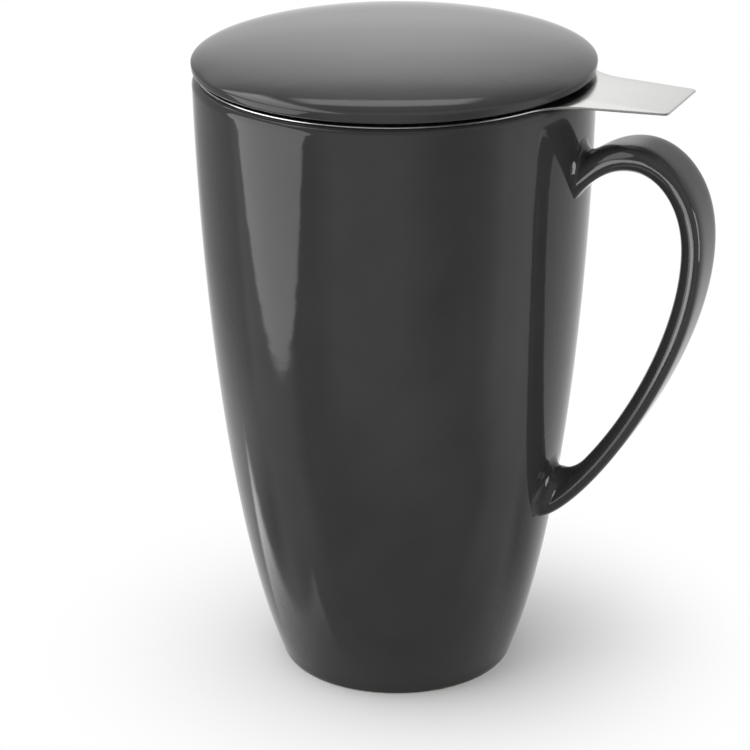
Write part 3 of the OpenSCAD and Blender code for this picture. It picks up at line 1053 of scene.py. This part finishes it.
def lower_studio(graph, around, rise):
    """Level of the studio's lower part by degrees around and degrees high."""
    level = graph.blend(graph.profile(around, AROUND_LEVELS), WHITE, graph.step(rise, *AROUND_TO))
    slope = graph.math("ADD", rise, graph.times(around, SHADED_SLOPE))
    shaded = graph.times(graph.step(around, *SHADED_FROM), graph.step(around, *SHADED_UNTIL),
                         graph.step(slope, *SHADED_BELOW))
    return graph.times(level, graph.blend(1, SHADED_LEVEL, shaded))


def studio(graph):
    """Level of the whole studio, with its softboxes, by direction."""
    way = graph.node("ShaderNodeTexCoord").outputs["Generated"]
    back = graph.dot(way, VIEW_BACK)
    left = graph.dot(way, VIEW_LEFT)
    up = graph.dot(way, UP)
    over = graph.degrees("ARCTAN2", up, back)
    side = graph.degrees("ARCSINE", left)
    around = graph.degrees("ARCTAN2", left, back)
    rise = graph.degrees("ARCSINE", up)
    high = graph.step(up, *(math.sin(math.radians(degrees)) for degrees in STUDIO_FROM))
    level = graph.blend(lower_studio(graph, around, rise), graph.profile(over, STUDIO_LEVELS), high)
    behind = graph.step(graph.math("ABSOLUTE", side), BACK_HALF, 0)
    level = graph.math("ADD", level, graph.times(graph.profile(over, BACK_LEVELS), behind))
    middle = from_axis(math.sin(ROUND_BOX_TURN), math.cos(ROUND_BOX_TURN), 0)
    round_box = graph.step(graph.dot(way, middle), ROUND_BOX_EDGE - ROUND_BOX_SOFT,
                           ROUND_BOX_EDGE + ROUND_BOX_SOFT)
    wide_box = graph.times(graph.band(side, *WIDE_BOX_SIDE), graph.band(over, *WIDE_BOX_OVER))
    strip_box = graph.times(graph.band(over, *STRIP_BOX_OVER), graph.band(side, *STRIP_BOX_SIDE))
    level = graph.blend(level, WIDE_BOX_LEVEL, wide_box)
    level = graph.blend(level, ROUND_BOX_LEVEL, round_box)
    level = graph.blend(level, STRIP_BOX_LEVEL, strip_box)
    dims = []
    for tilt in (-DIM_RISE, DIM_RISE):
        camera = from_axis(0, math.cos(tilt), math.sin(tilt))
        dims.append(graph.profile(graph.degrees("ARCCOSINE", graph.dot(way, camera)), DIM_LEVELS))
    return graph.math("SUBTRACT", level, graph.blend(*dims, high))


def make_world():
    """White to the camera, an even light to diffuse surfaces and a studio to glossy ones."""
    world = bpy.data.worlds.new("studio")
    bpy.context.scene.world = world
    world.use_nodes = True
    graph = Graph(world.node_tree)
    glossy, seen = graph.rays()
    level = graph.blend(graph.blend(AMBIENT, WHITE, seen), studio(graph), glossy)
    background = graph.node("ShaderNodeBackground")
    background.inputs["Color"].default_value = (1, 1, 1, 1)
    graph.plug(background.inputs["Strength"], level)
    surface = graph.node("ShaderNodeOutputWorld").inputs["Surface"]
    graph.plug(surface, background.outputs["Background"])


# ---------------------------------------------------------------- lamps

# The two small lamps that draw bright lines along the handle's side: each one's place by
# from_axis, its width and its height in metres and its power in watts
STRIPS = [((0.031, 0.085, 0.060), 0.036, 0.028, 0.021),
          ((-0.131, 0.103, 0.090), 0.075, 0.060, 0.125)]
STRIPS_FACE = Vector((0.06, 0, 0.09))

KEY_POWER = 0.9
KEY_ANGLE = math.radians(50)
KEY_WAY = (0.75, 0.25, 1.5)     # the direction it stands in, by from_axis


def add_lamp(name, kind, power):
    data = bpy.data.lights.new(name, kind)
    data.energy = power
    lamp = add_object(name, data)
    lamp.rotation_mode = "QUATERNION"
    return lamp


def make_strips(handle):
    """Small lamps close to the handle, for its gloss alone."""
    lit = bpy.data.collections.new("lit_by_the_strips")
    lit.objects.link(handle)
    for place, width, height, power in STRIPS:
        strip = add_lamp("handle_strip", "AREA", power)
        strip.data.shape = "RECTANGLE"
        strip.data.size = width
        strip.data.size_y = height
        strip.location = from_axis(*place)
        strip.rotation_quaternion = (STRIPS_FACE - strip.location).to_track_quat("-Z", "Y")
        strip.visible_camera = False
        strip.visible_diffuse = False
        strip.light_linking.receiver_collection = lit


def make_key():
    """One broad soft lamp at the left and above, which casts the floor's soft shadow."""
    key = add_lamp("key", "SUN", KEY_POWER)
    key.data.angle = KEY_ANGLE
    key.rotation_quaternion = from_axis(*KEY_WAY).to_track_quat("Z", "Y")
    key.visible_glossy = False


make_floor()
make_world()
make_key()
make_strips(handle)
bpy.context.scene.view_settings.view_transform = "Standard"
